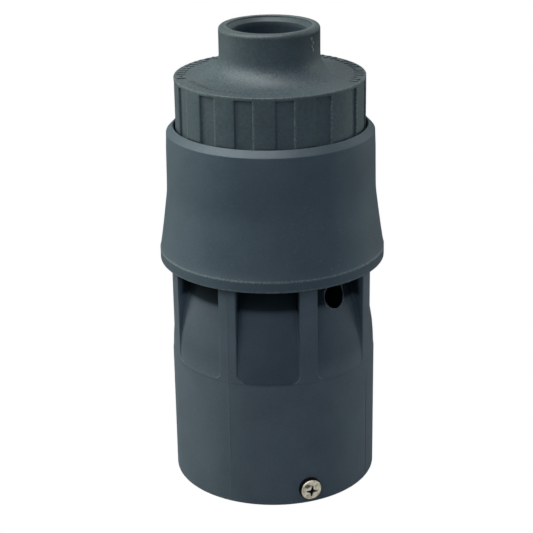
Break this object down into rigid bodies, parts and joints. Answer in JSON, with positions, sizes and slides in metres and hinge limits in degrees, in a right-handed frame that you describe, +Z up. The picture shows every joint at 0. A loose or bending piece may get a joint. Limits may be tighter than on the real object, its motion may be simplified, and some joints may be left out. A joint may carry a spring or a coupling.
{
  "type": "motorised actuator head",
  "caption": "Dark plastic actuator head: round collar with locking screw, ribbed vent pockets, drip skirt, grip cap with conduit neck, and a geared motor driving a push rod inside.",
  "frame": {"origin": "centre of the collar's mouth, on the plane of its bottom rim", "axes": "+Z up along the common axis towards the conduit neck; -Y is the front; the locking screw is 19.4 degrees from -Y towards +X"},
  "size_m": [0.0772, 0.0772, 0.16],
  "materials": {
    "housing": "satin moulded, dark blue-grey",
    "stainless": "bright rolled stainless",
    "steel": "zinc-plated",
    "brass": "turned",
    "bronze": "sintered bronze",
    "rubber": "matt black",
    "acetal": "natural acetal",
    "ferrite": "dark sintered",
    "coil_tape": "amber tape over the winding",
    "board": "green solder mask",
    "terminal": "green moulded",
    "insulation": "blue sleeve",
    "capacitor": "brown epoxy case"
  },
  "bodies": {
    "base": {"lower_body": "housing", "drip_skirt": "housing", "screw_insert": "brass", "guide_bush": "bronze", "rod_seal": "rubber", "guide_posts": "steel", "base_screws": "stainless", "gearbox_plate": "steel", "screw_bush": "bronze", "thrust_washer": "bronze", "ring_gear": "acetal", "motor_plate": "steel", "gearbox_screws": "stainless", "front_bearing": "bronze", "rear_bearing": "bronze", "motor_can": "steel", "motor_end_bell": "acetal", "stator_coil": "coil_tape", "motor_leads": "insulation", "spacer_posts": "steel", "circuit_board": "board", "board_screws": "stainless", "terminal_block": "terminal", "terminal_screws": "stainless", "run_capacitor": "capacitor"},
    "rotor": {"motor_shaft": "stainless", "rotor_magnet": "ferrite", "sun_gear": "brass"},
    "carrier": {"planet_carrier": "steel", "planet_pins": "stainless", "lead_screw": "stainless"},
    "planet_1": {"planet_gear_1": "acetal"},
    "planet_2": {"planet_gear_2": "acetal"},
    "planet_3": {"planet_gear_3": "acetal"},
    "rod": {"push_rod": "stainless", "thrust_button": "acetal", "crosshead": "steel", "drive_nut": "brass", "nut_screws": "stainless"},
    "cap_seal": {"cap_gasket": "rubber"},
    "cap": {"ribbed_cap": "housing", "cable_grommet": "rubber"},
    "lock_screw": {"locking_screw": "stainless"}
  },
  "joints": [
    {"name": "rod_slide", "type": "slide", "parent": "base", "child": "rod", "axis": [0, 0, -1], "range_m": [0, 0.008]},
    {"name": "carrier_spin", "type": "hinge", "parent": "base", "child": "carrier", "pos_m": [0, 0, 0.084], "axis": [0, 0, 1], "range_deg": [0, 1445]},
    {"name": "rotor_spin", "type": "hinge", "parent": "base", "child": "rotor", "pos_m": [0, 0, 0.1], "axis": [0, 0, 1], "range_deg": [0, 7220]},
    {"name": "planet_1_spin", "type": "hinge", "parent": "carrier", "child": "planet_1", "pos_m": [0.009, 0, 0.09], "axis": [0, 0, 1], "range_deg": [-3850, 0]},
    {"name": "planet_2_spin", "type": "hinge", "parent": "carrier", "child": "planet_2", "pos_m": [-0.0045, 0.00779, 0.09], "axis": [0, 0, 1], "range_deg": [-3850, 0]},
    {"name": "planet_3_spin", "type": "hinge", "parent": "carrier", "child": "planet_3", "pos_m": [-0.0045, -0.00779, 0.09], "axis": [0, 0, 1], "range_deg": [-3850, 0]},
    {"name": "cap_lift", "type": "slide", "parent": "base", "child": "cap_seal", "axis": [0, 0, 1], "range_m": [0, 0.01602]},
    {"name": "cap_turn", "type": "hinge", "parent": "cap_seal", "child": "cap", "pos_m": [0, 0, 0.12], "axis": [0, 0, 1], "range_deg": [0, 1440]},
    {"name": "lock_screw_out", "type": "slide", "parent": "base", "child": "lock_screw", "axis": [0.3322, -0.9432, 0], "range_m": [0, 0.005]}
  ],
  "couplings": [
    {"joint": "carrier_spin", "follows": "rod_slide", "rad_per_m": 3141.6},
    {"joint": "rotor_spin", "follows": "rod_slide", "rad_per_m": 15708},
    {"joint": "planet_1_spin", "follows": "rod_slide", "rad_per_m": -8377.6},
    {"joint": "planet_2_spin", "follows": "rod_slide", "rad_per_m": -8377.6},
    {"joint": "planet_3_spin", "follows": "rod_slide", "rad_per_m": -8377.6},
    {"joint": "cap_lift", "follows": "cap_turn", "m_per_rad": 0.00063662}
  ]
}
